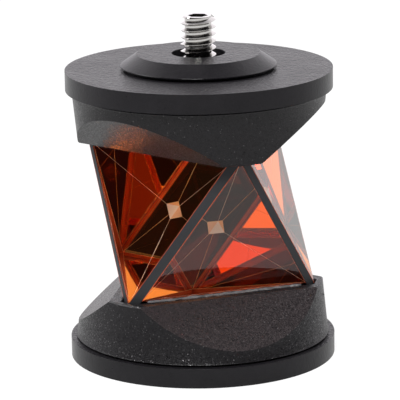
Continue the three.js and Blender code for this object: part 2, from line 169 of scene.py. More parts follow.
def softbox(name, turn, rise, size, watts):
    place = Vector((
        math.sin(turn) * math.cos(rise),
        -math.cos(turn) * math.cos(rise),
        math.sin(rise),
    ))
    bpy.ops.object.light_add(type="AREA", location=softbox_distance * place)
    lamp = bpy.context.object
    lamp.name = name
    lamp.data.shape = "DISK"
    lamp.data.size = size
    lamp.data.energy = watts
    lamp.rotation_mode = "QUATERNION"
    lamp.rotation_quaternion = place.to_track_quat("Z", "Y")


left_turn = view_turn - math.radians(100)
right_turn = view_turn + math.radians(110)
front_turn = view_turn - math.radians(12)
softbox("left_softbox", left_turn, rise=math.radians(40), size=0.5, watts=6.0)
softbox("right_softbox", right_turn, rise=math.radians(40), size=0.5, watts=2.5)
softbox("front_softbox", front_turn, rise=math.radians(55), size=0.4, watts=13.0)
bpy.context.scene.cycles.max_bounces = 24
bpy.context.scene.cycles.glossy_bounces = 16
bpy.context.scene.cycles.transmission_bounces = 16


# The base disc: a round of aluminium, turned, blasted to a fine satin and anodised black.
# Three countersinks from below take the screws that pull it up to the lower housing.
mm = 0.001
weld = 0.0001 * mm
fine_steps = 192
small_steps = 48
fit_gap = 0.1 * mm
overrun = 1.0 * mm


def pick(piece):
    bpy.ops.object.select_all(action="DESELECT")
    bpy.context.view_layer.objects.active = piece
    piece.select_set(True)


def outline(name, points):
    """A half-section of (radius, height) points, drawn from point to point."""
    bpy.ops.object.select_all(action="DESELECT")
    bpy.ops.mesh.primitive_plane_add(size=mm)
    piece = bpy.context.object
    piece.name = name
    piece.data.name = name
    bpy.ops.object.mode_set(mode="EDIT")
    bpy.ops.mesh.merge(type="CENTER")
    bpy.ops.transform.translate(value=(points[0][0], 0.0, points[0][1]))
    for (radius, height), (next_radius, next_height) in zip(points, points[1:]):
        step = (next_radius - radius, 0.0, next_height - height)
        bpy.ops.mesh.extrude_region_move(TRANSFORM_OT_translate={"value": step})
    bpy.ops.object.mode_set(mode="OBJECT")
    return piece


def turned(name, points, steps=fine_steps):
    """Turns a half-section about the axis and closes it."""
    piece = outline(name, points)
    bpy.ops.object.mode_set(mode="EDIT")
    bpy.ops.mesh.select_all(action="SELECT")
    bpy.ops.mesh.spin(
        steps=steps, angle=math.tau, center=(0.0, 0.0, 0.0), axis=(0.0, 0.0, 1.0)
    )
    bpy.ops.mesh.select_all(action="SELECT")
    bpy.ops.mesh.remove_doubles(threshold=weld)
    bpy.ops.mesh.normals_make_consistent(inside=False)
    bpy.ops.object.mode_set(mode="OBJECT")
    return piece


def on_ring(piece, turn, ring):
    """Moves a piece out from the axis to its place on a ring."""
    piece.location = (ring * math.sin(turn), -ring * math.cos(turn), 0.0)
    piece.rotation_euler.z = turn
    pick(piece)
    bpy.ops.object.transform_apply()
    return piece


def turned_over(piece):
    """Turns a piece of the lower end over, into its place at the upper end."""
    piece.location.z = body_height
    piece.rotation_euler.x = math.pi
    pick(piece)
    bpy.ops.object.transform_apply()
    return piece


def combined(piece, tool, operation="DIFFERENCE"):
    """Cuts a tool out of a piece, or joins it on, and takes the tool away."""
    pick(piece)
    bpy.ops.object.modifier_add(type="BOOLEAN")
    step = piece.modifiers[-1]
    step.operation = operation
    step.object = tool
    bpy.ops.object.modifier_apply(modifier=step.name)
    bpy.data.objects.remove(tool)


def softened(piece, width, segments=3, sharper_than=30.0):
    """Takes the sharpness off the edges of a piece, as a file or a chamfer does."""
    pick(piece)
    bpy.ops.object.shade_smooth()
    bpy.ops.object.modifier_add(type="BEVEL")
    step = piece.modifiers[-1]
    step.width = width
    step.segments = segments
    step.limit_method = "ANGLE"
    step.angle_limit = math.radians(sharper_than)
    step.harden_normals = True
    bpy.ops.object.modifier_apply(modifier=step.name)


def fitted(piece, node, material, body="prism_body"):
    """Gives a finished piece its material, and puts it in the place of its CAD node."""
    piece.data.materials.clear()
    piece.data.materials.append(material)
    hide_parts(node)
    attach(piece, body)


def effect(name, numbers, results):
    """An empty node group with number inputs, and its two end nodes."""
    group = bpy.data.node_groups.new(name, "ShaderNodeTree")
    for label, value in numbers.items():
        socket = group.interface.new_socket(
            name=label, in_out="INPUT", socket_type="NodeSocketFloat"
        )
        socket.default_value = value
    for label, kind in results.items():
        group.interface.new_socket(name=label, in_out="OUTPUT", socket_type=kind)
    return group, group.nodes.new("NodeGroupInput"), group.nodes.new("NodeGroupOutput")


def finish_named(name):
    material = bpy.data.materials.new(name)
    material.use_nodes = True
    return material, material.node_tree, material.node_tree.nodes["Principled BSDF"]


def apply_effect(tree, group, **numbers):
    node = add_node(tree, "ShaderNodeGroup", node_tree=group)
    for label, value in numbers.items():
        node.inputs[label].default_value = value
    return node


# Blasting leaves a fine even grain, with slow cloudy changes in how dark the surface is.
blasted, blasted_in, blasted_out = effect(
    "blasted_grain",
    {"Grain": 4500.0, "Cloud": 120.0},
    {"Height": "NodeSocketFloat", "Tone": "NodeSocketFloat"},
)
blasted_place = add_node(blasted, "ShaderNodeTexCoord")
blasted_grain = add_node(
    blasted,
    "ShaderNodeTexNoise",
    {
        "Vector": blasted_place.outputs["Object"],
        "Scale": blasted_in.outputs["Grain"],
        "Detail": 2.0,
        "Roughness": 0.6,
    },
)
blasted_cloud = add_node(
    blasted,
    "ShaderNodeTexNoise",
    {
        "Vector": blasted_place.outputs["Object"],
        "Scale": blasted_in.outputs["Cloud"],
        "Detail": 3.0,
    },
)
blasted_tone = add_node(
    blasted,
    "ShaderNodeMix",
    {"Factor": 0.5, "A": blasted_grain.outputs["Fac"], "B": blasted_cloud.outputs["Fac"]},
    data_type="FLOAT",
)
blasted.links.new(blasted_grain.outputs["Fac"], blasted_out.inputs["Height"])
blasted.links.new(blasted_tone.outputs["Result"], blasted_out.inputs["Tone"])

# Black anodising is smoothest on the turned chamfers. Flat tops keep the shallow pits of the
# blasting, and upright sides nearly none.
anodised, anodised_tree, anodised_shader = finish_named("black_anodised_aluminium")
anodised_grain = apply_effect(anodised_tree, blasted, Grain=3200.0, Cloud=120.0)
anodised_colour = add_node(anodised_tree, "ShaderNodeValToRGB", {
    "Fac": anodised_grain.outputs["Tone"],
})
anodised_colour.color_ramp.elements[0].position = 0.3
anodised_colour.color_ramp.elements[0].color = (0.004, 0.0037, 0.0044, 1.0)
anodised_colour.color_ramp.elements[1].position = 0.7
anodised_colour.color_ramp.elements[1].color = (0.010, 0.0092, 0.0108, 1.0)
anodised_gloss = add_node(anodised_tree, "ShaderNodeMapRange", {
    "Value": anodised_grain.outputs["Tone"],
    "From Min": 0.3,
    "From Max": 0.7,
    "To Min": 0.26,
    "To Max": 0.4,
})
anodised_place = add_node(anodised_tree, "ShaderNodeTexCoord")
anodised_side = add_node(anodised_tree, "ShaderNodeSeparateXYZ", {
    "Vector": anodised_place.outputs["Normal"],
})
anodised_flat = add_node(anodised_tree, "ShaderNodeMapRange", {
    "Value": anodised_side.outputs["Z"],
    "From Min": 0.9,
    "From Max": 0.98,
    "To Min": 0.12,
    "To Max": 1.0,
})
anodised_pits = apply_effect(anodised_tree, blasted, Grain=1900.0, Cloud=900.0)
anodised_bump = add_node(anodised_tree, "ShaderNodeBump", {
    "Height": anodised_pits.outputs["Tone"],
    "Strength": anodised_flat.outputs["Result"],
    "Distance": 0.45 * mm,
})
anodised_steep = add_node(anodised_tree, "ShaderNodeMath", operation="ABSOLUTE")
anodised_tree.links.new(anodised_side.outputs["Z"], anodised_steep.inputs[0])
anodised_chamfer = add_node(anodised_tree, "ShaderNodeMath", operation="COMPARE")
anodised_tree.links.new(anodised_steep.outputs[0], anodised_chamfer.inputs[0])
anodised_chamfer.inputs[1].default_value = 0.5
anodised_chamfer.inputs[2].default_value = 0.27
anodised_shine = add_node(anodised_tree, "ShaderNodeMix", {
    "Factor": anodised_chamfer.outputs[0],
    "A": anodised_gloss.outputs["Result"],
    "B": 0.14,
}, data_type="FLOAT")
for socket, value in (
    ("Base Color", anodised_colour.outputs["Color"]),
    ("Roughness", anodised_shine.outputs["Result"]),
    ("Normal", anodised_bump.outputs["Normal"]),
):
    anodised_tree.links.new(value, anodised_shader.inputs[socket])
anodised_shader.inputs["IOR"].default_value = 1.55
anodised_shader.inputs["Specular IOR Level"].default_value = 0.14

disc_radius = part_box("base_disc")[1].x
disc_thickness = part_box("base_disc")[1].z
disc_edge = 0.25 * mm
bush_radius = 6.0 * mm
screw_low, screw_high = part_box("base_screw_2")
base_screw_ring = 0.5 * abs(screw_low.y + screw_high.y)
screw_radius = 1.5 * mm
screw_head_radius = 0.5 * (screw_high.y - screw_low.y)
screw_head_rim = 0.2 * mm
screw_sink = screw_low.z
head_gap = 0.15 * mm
third = math.radians(120)
sixth = math.radians(60)


def disc(name, hole_radius, screw_ring, screw_turn):
    piece = turned(name, [
        (hole_radius, 0.0),
        (disc_radius, 0.0),
        (disc_radius, disc_thickness),
        (hole_radius, disc_thickness),
        (hole_radius, 0.0),
    ])
    head_radius = screw_head_radius + head_gap
    shank_radius = screw_radius + head_gap
    head_top = screw_sink + screw_head_rim
    for number in range(3):
        seat = turned("screw_seat", [
            (0.0, -overrun),
            (head_radius, -overrun),
            (head_radius, head_top),
            (shank_radius, head_top + screw_head_radius - screw_radius),
            (shank_radius, disc_thickness + overrun),
            (0.0, disc_thickness + overrun),
        ], small_steps)
        combined(piece, on_ring(seat, screw_turn + number * third, screw_ring))
    softened(piece, disc_edge)
    return piece


fitted(
    disc("turned_base_disc", bush_radius + fit_gap, base_screw_ring, sixth),
    "base_disc",
    anodised,
)


# The base bush: turned brass, with a 1/4 in-20 thread in its blind bore for the survey pole.
# The base disc traps its flange in the lower housing.
thread_pitch = 1.27 * mm
thread_radius = 3.175 * mm
thread_depth = 0.6134 * thread_pitch
thread_slope = math.tan(math.radians(30))
half_root = thread_pitch / 8
groove_overlap = 0.05 * mm
rod_steps = 96


def thread_groove(name, mouth_radius, root_radius, from_height, turns):
    """A helical V-groove with a flat root, which a boolean cuts into a rod or a bore."""
    outwards = 1.0 if mouth_radius > root_radius else -1.0
    mouth = mouth_radius + outwards * groove_overlap
    groove_depth = abs(mouth_radius - root_radius) + groove_overlap
    half_mouth = half_root + groove_depth * thread_slope
    groove = outline(name, [
        (mouth, from_height - half_mouth),
        (mouth, from_height + half_mouth),
        (root_radius, from_height + half_root),
        (root_radius, from_height - half_root),
        (mouth, from_height - half_mouth),
    ])
    bpy.ops.object.mode_set(mode="EDIT")
    bpy.ops.mesh.select_all(action="SELECT")
    bpy.ops.mesh.remove_doubles(threshold=weld)
    bpy.ops.object.mode_set(mode="OBJECT")
    bpy.ops.object.modifier_add(type="SCREW")
    step = groove.modifiers[-1]
    step.screw_offset = thread_pitch
    step.iterations = turns
    step.steps = small_steps
    step.render_steps = small_steps
    bpy.ops.object.modifier_apply(modifier=step.name)
    bpy.ops.object.mode_set(mode="EDIT")
    bpy.ops.mesh.select_all(action="SELECT")
    bpy.ops.mesh.remove_doubles(threshold=weld)
    bpy.ops.mesh.fill_holes(sides=4)
    bpy.ops.mesh.select_all(action="SELECT")
    bpy.ops.mesh.normals_make_consistent(inside=False)
    bpy.ops.object.mode_set(mode="OBJECT")
    return groove


brass, brass_tree, brass_shader = finish_named("turned_brass")
brass_grain = apply_effect(brass_tree, blasted, Grain=9000.0, Cloud=400.0)
brass_colour = add_node(brass_tree, "ShaderNodeValToRGB", {"Fac": brass_grain.outputs["Tone"]})
brass_colour.color_ramp.elements[0].color = (0.48, 0.31, 0.11, 1.0)
brass_colour.color_ramp.elements[1].color = (0.78, 0.58, 0.28, 1.0)
brass_gloss = add_node(brass_tree, "ShaderNodeMapRange", {
    "Value": brass_grain.outputs["Height"],
    "To Min": 0.18,
    "To Max": 0.4,
})
brass_tree.links.new(brass_colour.outputs["Color"], brass_shader.inputs["Base Color"])
brass_tree.links.new(brass_gloss.outputs["Result"], brass_shader.inputs["Roughness"])
brass_shader.inputs["Metallic"].default_value = 1.0

bush_low, bush_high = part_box("base_bush")
bush_flange_radius = bush_high.x
bush_flange_thickness = 1.6 * mm
bush_bore_depth = 10.0 * mm
bush_crest_relief = 0.2 * mm
bush_bore_radius = thread_radius - thread_depth + bush_crest_relief
bush_mouth_chamfer = 0.6 * mm
bush_mouth = thread_radius + bush_mouth_chamfer
bush_edge = 0.06 * mm
bush = turned("threaded_base_bush", [
    (0.0, bush_low.z + bush_bore_depth),
    (bush_bore_radius, bush_low.z + bush_bore_depth),
    (bush_bore_radius, bush_low.z + bush_mouth - bush_bore_radius),
    (bush_mouth, bush_low.z),
    (bush_radius, bush_low.z),
    (bush_radius, disc_thickness),
    (bush_flange_radius, disc_thickness),
    (bush_flange_radius, disc_thickness + bush_flange_thickness),
    (bush_radius, disc_thickness + bush_flange_thickness),
    (bush_radius, bush_high.z),
    (0.0, bush_high.z),
], rod_steps)
bush_turns = 8
combined(bush, thread_groove(
    "bush_thread", bush_bore_radius, thread_radius, bush_low.z - thread_pitch, bush_turns
))
softened(bush, bush_edge, segments=2, sharper_than=50.0)
fitted(bush, "base_bush", brass)


# The base screws: three countersunk M3 screws of plated steel with hexagon sockets, driven
# up through the base disc from below.
steel, steel_tree, steel_shader = finish_named("nickel_plated_steel")
steel_grain = apply_effect(steel_tree, blasted, Grain=6000.0, Cloud=900.0)
steel_colour = add_node(steel_tree, "ShaderNodeValToRGB", {"Fac": steel_grain.outputs["Tone"]})
steel_colour.color_ramp.elements[0].color = (0.36, 0.35, 0.335, 1.0)
steel_colour.color_ramp.elements[1].color = (0.66, 0.645, 0.63, 1.0)
steel_gloss = add_node(steel_tree, "ShaderNodeMapRange", {
    "Value": steel_grain.outputs["Tone"],
    "From Min": 0.3,
    "From Max": 0.7,
    "To Min": 0.05,
    "To Max": 0.15,
})
steel_tree.links.new(steel_colour.outputs["Color"], steel_shader.inputs["Base Color"])
steel_tree.links.new(steel_gloss.outputs["Result"], steel_shader.inputs["Roughness"])
steel_shader.inputs["Metallic"].default_value = 1.0


def hexagon_key(flats, from_height, to_height):
    """The tool that opens a hexagon socket."""
    bpy.ops.object.select_all(action="DESELECT")
    bpy.ops.mesh.primitive_cylinder_add(
        vertices=6,
        radius=flats / math.sqrt(3),
        depth=to_height - from_height,
        location=(0.0, 0.0, 0.5 * (from_height + to_height)),
    )
    bpy.ops.object.transform_apply()
    return bpy.context.object


screw_length = screw_high.z - screw_sink
screw_tip = 0.4 * mm
screw_socket_flats = 2.0 * mm
screw_socket_depth = 1.1 * mm
screw_edge = 0.08 * mm
screw_cone = screw_head_radius - screw_radius
screw_model = turned("countersunk_screw", [
    (0.0, screw_sink),
    (screw_head_radius, screw_sink),
    (screw_head_radius, screw_sink + screw_head_rim),
    (screw_radius, screw_sink + screw_head_rim + screw_cone),
    (screw_radius, screw_sink + screw_length - screw_tip),
    (screw_radius - screw_tip, screw_sink + screw_length),
    (0.0, screw_sink + screw_length),
], small_steps)
combined(screw_model, hexagon_key(
    screw_socket_flats, screw_sink - overrun, screw_sink + screw_socket_depth
))
softened(screw_model, screw_edge, segments=2)


def screw_copy(name):
    piece = bpy.data.objects.new(name, screw_model.data.copy())
    bpy.context.collection.objects.link(piece)
    return piece


for number in range(3):
    screw = screw_copy(f"base_disc_screw_{number + 1}")
    on_ring(screw, sixth + number * third, base_screw_ring)
    fitted(screw, f"base_screw_{number + 1}", steel)


# The lower gasket: a flat ring of black rubber between the base disc and the housing. It is
# set back from the edge, so that only a dark joint shows.
rubber, rubber_tree, rubber_shader = finish_named("black_rubber_sheet")
rubber_grain = apply_effect(rubber_tree, blasted, Grain=3000.0, Cloud=200.0)
rubber_colour = add_node(rubber_tree, "ShaderNodeValToRGB", {
    "Fac": rubber_grain.outputs["Tone"],
})
rubber_colour.color_ramp.elements[0].color = (0.008, 0.0085, 0.0095, 1.0)
rubber_colour.color_ramp.elements[1].color = (0.022, 0.023, 0.026, 1.0)
rubber_gloss = add_node(rubber_tree, "ShaderNodeMapRange", {
    "Value": rubber_grain.outputs["Tone"],
    "To Min": 0.55,
    "To Max": 0.85,
})
rubber_bump = add_node(rubber_tree, "ShaderNodeBump", {
    "Height": rubber_grain.outputs["Height"],
    "Strength": 0.4,
    "Distance": 0.02 * mm,
})
rubber_tree.links.new(rubber_colour.outputs["Color"], rubber_shader.inputs["Base Color"])
rubber_tree.links.new(rubber_gloss.outputs["Result"], rubber_shader.inputs["Roughness"])
rubber_tree.links.new(rubber_bump.outputs["Normal"], rubber_shader.inputs["Normal"])
rubber_shader.inputs["Specular IOR Level"].default_value = 0.25

gasket_width = 3.1 * mm
gasket_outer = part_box("lower_gasket")[1].x
gasket_inner = gasket_outer - gasket_width
gasket_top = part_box("lower_gasket")[1].z


def gasket(name):
    """The outside of the ring bulges a little, as a squeezed gasket does."""
    bulge = 0.5 * (gasket_top - disc_thickness)
    middle = 0.5 * (gasket_top + disc_thickness)
    outside = [
        (gasket_outer - bulge + bulge * math.cos(turn), middle + bulge * math.sin(turn))
        for turn in (math.radians(angle) for angle in range(-90, 91, 30))
    ]
    section = [(gasket_inner, disc_thickness), *outside, (gasket_inner, gasket_top)]
    piece = turned(name, [*section, section[0]])
    pick(piece)
    bpy.ops.object.shade_smooth_by_angle(angle=math.radians(35))
    return piece


fitted(gasket("squeezed_lower_gasket"), "lower_gasket", rubber)


# The lower housing: an aluminium casting with three flat facets and three lobes between
# them, and a thin lip round its foot. Its hard black coat is full of fine bright grains.
housing_height = 10.0 * mm
glass_radius = 21.3 * mm
glass_sink = 2.27 * mm
lobe_wall = 0.63 * mm
body_draft = 0.88 * mm
foot_chamfer = 0.2 * mm
foot_lip = 0.18 * mm
rim_chamfer = 0.25 * mm
land_width = 2.03 * mm
facet_foot = 2.33 * mm
pocket_depth = 1.4 * mm
pocket_gap = 0.3 * mm
core_top = 4.8 * mm
core_outset = 0.4 * mm
housing_edge = 0.06 * mm
end_gap = 0.3 * mm

face_lean = math.atan(1 / math.sqrt(8))
glass_reach = glass_radius / math.sqrt(2)
glass_middle = 0.5 * body_height
rim_height = disc_thickness + housing_height
rim_radius = glass_radius + lobe_wall
foot_radius = rim_radius + body_draft
foot_height = gasket_top
pocket_floor = rim_height - pocket_depth
face_at_rim = glass_radius / 2 + glass_sink * math.tan(face_lean)
facet_at_rim = face_at_rim + pocket_gap / math.cos(face_lean) + land_width


def pocket():
    """The hollow for the six corner cubes: an octahedron that stands on a triangle."""
    reach = glass_reach + pocket_gap
    bpy.ops.object.select_all(action="DESELECT")
    bpy.ops.mesh.primitive_cylinder_add(
        vertices=3,
        radius=reach * math.sqrt(2),
        depth=2 * reach,
        location=(0.0, 0.0, glass_middle),
    )
    piece = bpy.context.object
    bpy.ops.object.transform_apply()
    bpy.ops.object.mode_set(mode="EDIT")
    bpy.ops.mesh.delete(type="EDGE_FACE")
    bpy.ops.mesh.select_all(action="DESELECT")
    bpy.ops.object.mode_set(mode="OBJECT")
    for corner in piece.data.vertices:
        corner.select = corner.co.z > glass_middle
    bpy.ops.object.mode_set(mode="EDIT")
    bpy.ops.transform.rotate(
        value=sixth, orient_axis="Z", center_override=(0.0, 0.0, glass_middle)
    )
    bpy.ops.mesh.select_all(action="SELECT")
    bpy.ops.mesh.convex_hull()
    bpy.ops.mesh.select_all(action="SELECT")
    bpy.ops.mesh.bisect(
        plane_co=(0.0, 0.0, pocket_floor),
        plane_no=(0.0, 0.0, 1.0),
        use_fill=True,
        clear_inner=True,
        threshold=weld,
    )
    bpy.ops.mesh.select_all(action="SELECT")
    bpy.ops.mesh.normals_make_consistent(inside=False)
    bpy.ops.object.mode_set(mode="OBJECT")
    return piece


def pyramid():
    """The three-sided core that carries the pads and fills the space under the cubes."""
    from_height = pocket_floor - overrun
    to_height = glass_middle - core_top
    tip = glass_middle + core_outset * math.sqrt(3)
    bpy.ops.object.select_all(action="DESELECT")
    bpy.ops.mesh.primitive_cone_add(
        vertices=3,
        radius1=(tip - from_height) * math.sqrt(2),
        radius2=(tip - to_height) * math.sqrt(2),
        depth=to_height - from_height,
        location=(0.0, 0.0, 0.5 * (from_height + to_height)),
    )
    bpy.ops.object.transform_apply()
    return bpy.context.object


def bore(radius, to_height):
    return turned("bore", [
        (0.0, disc_thickness - overrun),
        (radius, disc_thickness - overrun),
        (radius, to_height),
        (0.0, to_height),
    ], small_steps)


def housing(name, screw_ring, screw_turn, bores):
    piece = turned(name, [
        (0.0, disc_thickness),
        (gasket_inner - fit_gap, disc_thickness),
        (gasket_inner - fit_gap, foot_height),
        (foot_radius, foot_height),
        (foot_radius + foot_lip, foot_height + 0.5 * foot_chamfer),
        (foot_radius, foot_height + 2 * foot_chamfer),
        (rim_radius, rim_height - rim_chamfer),
        (rim_radius - rim_chamfer, rim_height),
        (0.0, rim_height),
    ])
    run = foot_radius - facet_at_rim
    drop = housing_height - facet_foot
    bpy.ops.object.mode_set(mode="EDIT")
    for number in range(3):
        out = Vector((math.sin(number * third), -math.cos(number * third), 0.0))
        bpy.ops.mesh.select_all(action="SELECT")
        bpy.ops.mesh.bisect(
            plane_co=facet_at_rim * out + Vector((0.0, 0.0, rim_height)),
            plane_no=drop * out + Vector((0.0, 0.0, run)),
            use_fill=True,
            clear_outer=True,
            threshold=weld,
        )
    bpy.ops.object.mode_set(mode="OBJECT")
    combined(piece, pocket())
    combined(piece, pyramid(), "UNION")
    for radius, to_height in bores:
        combined(piece, bore(radius, to_height))
    for number in range(3):
        hole = bore(screw_radius + fit_gap, screw_sink + screw_length + end_gap)
        combined(piece, on_ring(hole, screw_turn + number * third, screw_ring))
    softened(piece, housing_edge, segments=2)
    return piece


# The coat holds grains as coarse as sand. Each one lies at its own tilt, a few are bare and
# bright, and the film between them is smooth.
sandy, sandy_in, sandy_out = effect(
    "sandy_coat",
    {"Grains": 5200.0, "Tilt": 0.5, "Bright Share": 0.06},
    {
        "Tone": "NodeSocketFloat",
        "Bright": "NodeSocketFloat",
        "Normal": "NodeSocketVector",
    },
)
sandy_place = add_node(sandy, "ShaderNodeTexCoord")
sandy_cells = add_node(sandy, "ShaderNodeTexVoronoi", {
    "Vector": sandy_place.outputs["Object"],
    "Scale": sandy_in.outputs["Grains"],
})
sandy_parts = add_node(sandy, "ShaderNodeSeparateColor", {
    "Color": sandy_cells.outputs["Color"],
})
sandy_limit = add_node(sandy, "ShaderNodeMath", operation="SUBTRACT")
sandy_limit.inputs[0].default_value = 1.0
sandy.links.new(sandy_in.outputs["Bright Share"], sandy_limit.inputs[1])
sandy_bright = add_node(sandy, "ShaderNodeMath", operation="GREATER_THAN")
sandy.links.new(sandy_parts.outputs["Green"], sandy_bright.inputs[0])
sandy.links.new(sandy_limit.outputs[0], sandy_bright.inputs[1])
sandy_middle = add_node(sandy, "ShaderNodeVectorMath", operation="SUBTRACT")
sandy.links.new(sandy_cells.outputs["Color"], sandy_middle.inputs[0])
sandy_middle.inputs[1].default_value = (0.5, 0.5, 0.5)
sandy_tilt = add_node(sandy, "ShaderNodeVectorMath", operation="SCALE")
sandy.links.new(sandy_middle.outputs["Vector"], sandy_tilt.inputs[0])
sandy.links.new(sandy_in.outputs["Tilt"], sandy_tilt.inputs["Scale"])
sandy_surface = add_node(sandy, "ShaderNodeNewGeometry")
sandy_lean = add_node(sandy, "ShaderNodeVectorMath", operation="ADD")
sandy.links.new(sandy_surface.outputs["Normal"], sandy_lean.inputs[0])
sandy.links.new(sandy_tilt.outputs["Vector"], sandy_lean.inputs[1])
sandy_unit = add_node(sandy, "ShaderNodeVectorMath", operation="NORMALIZE")
sandy.links.new(sandy_lean.outputs["Vector"], sandy_unit.inputs[0])
sandy.links.new(sandy_parts.outputs["Red"], sandy_out.inputs["Tone"])
sandy.links.new(sandy_bright.outputs[0], sandy_out.inputs["Bright"])
sandy.links.new(sandy_unit.outputs["Vector"], sandy_out.inputs["Normal"])


def coated_casting(name, grains, tilt, bright_share, facet_sheen_colour):
    """The coat of a housing. The cut facets, told by their slope, are a little paler: a
    painted sheen that stands in for the light falling on them and the glass they reflect.
    """
    material, tree, shader = finish_named(name)
    place = add_node(tree, "ShaderNodeTexCoord")
    side = add_node(tree, "ShaderNodeSeparateXYZ", {"Vector": place.outputs["Normal"]})
    steep = add_node(tree, "ShaderNodeMath", operation="ABSOLUTE")
    tree.links.new(side.outputs["Z"], steep.inputs[0])
    facet = add_node(tree, "ShaderNodeMath", operation="COMPARE")
    tree.links.new(steep.outputs[0], facet.inputs[0])
    facet.inputs[1].default_value = 0.76
    facet.inputs[2].default_value = 0.03
    grain = apply_effect(
        tree, sandy, **{"Grains": grains, "Tilt": tilt, "Bright Share": bright_share}
    )
    film = add_node(tree, "ShaderNodeValToRGB", {"Fac": grain.outputs["Tone"]})
    film.color_ramp.elements[0].color = (0.0035, 0.0032, 0.0037, 1.0)
    film.color_ramp.elements[1].color = (0.010, 0.0092, 0.0102, 1.0)
    # Painted sheen: the facets, picked out by slope and broken by the grain, get a paler
    # colour added, as if lit from above.
    facet_sheen_mask = add_node(tree, "ShaderNodeMath", operation="MULTIPLY")
    tree.links.new(facet.outputs[0], facet_sheen_mask.inputs[0])
    tree.links.new(grain.outputs["Tone"], facet_sheen_mask.inputs[1])
    film_with_facet_sheen = add_node(tree, "ShaderNodeMix", data_type="RGBA", blend_type="ADD")
    tree.links.new(facet_sheen_mask.outputs[0], film_with_facet_sheen.inputs[0])
    tree.links.new(film.outputs["Color"], film_with_facet_sheen.inputs[6])
    film_with_facet_sheen.inputs[7].default_value = facet_sheen_colour
    colour = add_node(tree, "ShaderNodeMix", data_type="RGBA")
    tree.links.new(grain.outputs["Bright"], colour.inputs[0])
    tree.links.new(film_with_facet_sheen.outputs[2], colour.inputs[6])
    colour.inputs[7].default_value = (0.12, 0.115, 0.118, 1.0)
    gloss = add_node(tree, "ShaderNodeMapRange", {
        "Value": grain.outputs["Tone"],
        "To Min": 0.26,
        "To Max": 0.5,
    })
    tree.links.new(colour.outputs[2], shader.inputs["Base Color"])
    tree.links.new(gloss.outputs["Result"], shader.inputs["Roughness"])
    tree.links.new(grain.outputs["Bright"], shader.inputs["Metallic"])
    tree.links.new(grain.outputs["Normal"], shader.inputs["Normal"])
    shader.inputs["Specular IOR Level"].default_value = 0.18
    return material


# The lower facets' added colour is a painted reddish reflection of the orange glass, with
# painted light from above.
lower_coat = coated_casting(
    "coarse_black_coat", 7000.0, 0.35, 0.02, (0.017, 0.011, 0.011, 1.0)
)
fitted(
    housing("cast_lower_housing", base_screw_ring, sixth, [
        (bush_flange_radius + fit_gap, disc_thickness + bush_flange_thickness),
        (bush_radius + fit_gap, bush_high.z + end_gap),
    ]),
    "lower_housing",
    lower_coat,
)


# The pads: flat slips of black rubber between the cores of the two housings and the back
# faces of the corner cubes. Cut square from sheet, they are right as they are.
for number in range(1, 7):
    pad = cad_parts[f"prism_pad_{number}"]
    pad.data.materials.clear()
    pad.data.materials.append(rubber)


# The corner cubes: six prisms of optical glass. Their front faces are polished, their back
# faces are coated with copper, and their edges are ground matt so that they don't chip.
glass, glass_tree, glass_shader = finish_named("polished_glass")
glass_shader.inputs["Base Color"].default_value = (1.0, 1.0, 1.0, 1.0)
glass_shader.inputs["IOR"].default_value = 1.52
glass_shader.inputs["Transmission Weight"].default_value = 1.0
glass_shader.inputs["Specular IOR Level"].default_value = 0.36
glass_wipe = apply_effect(glass_tree, blasted, Grain=900.0, Cloud=60.0)
glass_gloss = add_node(glass_tree, "ShaderNodeMapRange", {
    "Value": glass_wipe.outputs["Tone"],
    "From Min": 0.45,
    "From Max": 0.8,
    "To Min": 0.0,
    "To Max": 0.003,
})
glass_tree.links.new(glass_gloss.outputs["Result"], glass_shader.inputs["Roughness"])

copper, copper_tree, copper_shader = finish_named("copper_coating")
copper_cloud = apply_effect(copper_tree, blasted, Grain=2500.0, Cloud=90.0)
copper_colour = add_node(copper_tree, "ShaderNodeValToRGB", {
    "Fac": copper_cloud.outputs["Tone"],
})
copper_colour.color_ramp.elements[0].color = (0.975, 0.62, 0.32, 1.0)
copper_colour.color_ramp.elements[1].color = (0.985, 0.65, 0.35, 1.0)
copper_tree.links.new(copper_colour.outputs["Color"], copper_shader.inputs["Base Color"])
copper_shader.inputs["Metallic"].default_value = 1.0
copper_shader.inputs["Roughness"].default_value = 0.0


def ground_glass(name, dark, light):
    """Matt ground glass, coloured with a painted glow: the orange light that the copper behind
    it sends round inside the cube.
    """
    material, tree, shader = finish_named(name)
    grain = apply_effect(tree, blasted, Grain=7000.0, Cloud=500.0)
    colour = add_node(tree, "ShaderNodeValToRGB", {"Fac": grain.outputs["Tone"]})
    colour.color_ramp.elements[0].color = (*dark, 1.0)
    colour.color_ramp.elements[1].color = (*light, 1.0)
    tree.links.new(colour.outputs["Color"], shader.inputs["Base Color"])
    shader.inputs["Roughness"].default_value = 0.7
    return material


# Painted copper glow: the trimmed sides are a dark red, and the ground edges and apex flats a
# bright pale peach.
copper_glow_side = ground_glass("ground_glass_side_copper_glow", (0.30, 0.035, 0.012), (0.62, 0.12, 0.04))
copper_glow_edge = ground_glass("ground_glass_edge_copper_glow", (0.93, 0.62, 0.45), (1.0, 0.84, 0.72))


def merged_copy(name, node):
    """A copy of a CAD node's mesh, with its loose triangles merged to whole flat faces."""
    piece = bpy.data.objects.new(name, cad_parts[node].data.copy())
    bpy.context.collection.objects.link(piece)
    pick(piece)
    bpy.ops.object.mode_set(mode="EDIT")
    bpy.ops.mesh.select_all(action="SELECT")
    bpy.ops.mesh.customdata_custom_splitnormals_clear()
    bpy.ops.mesh.remove_doubles(threshold=weld)
    bpy.ops.mesh.dissolve_limited(angle_limit=math.radians(1))
    bpy.ops.object.mode_set(mode="OBJECT")
    return piece


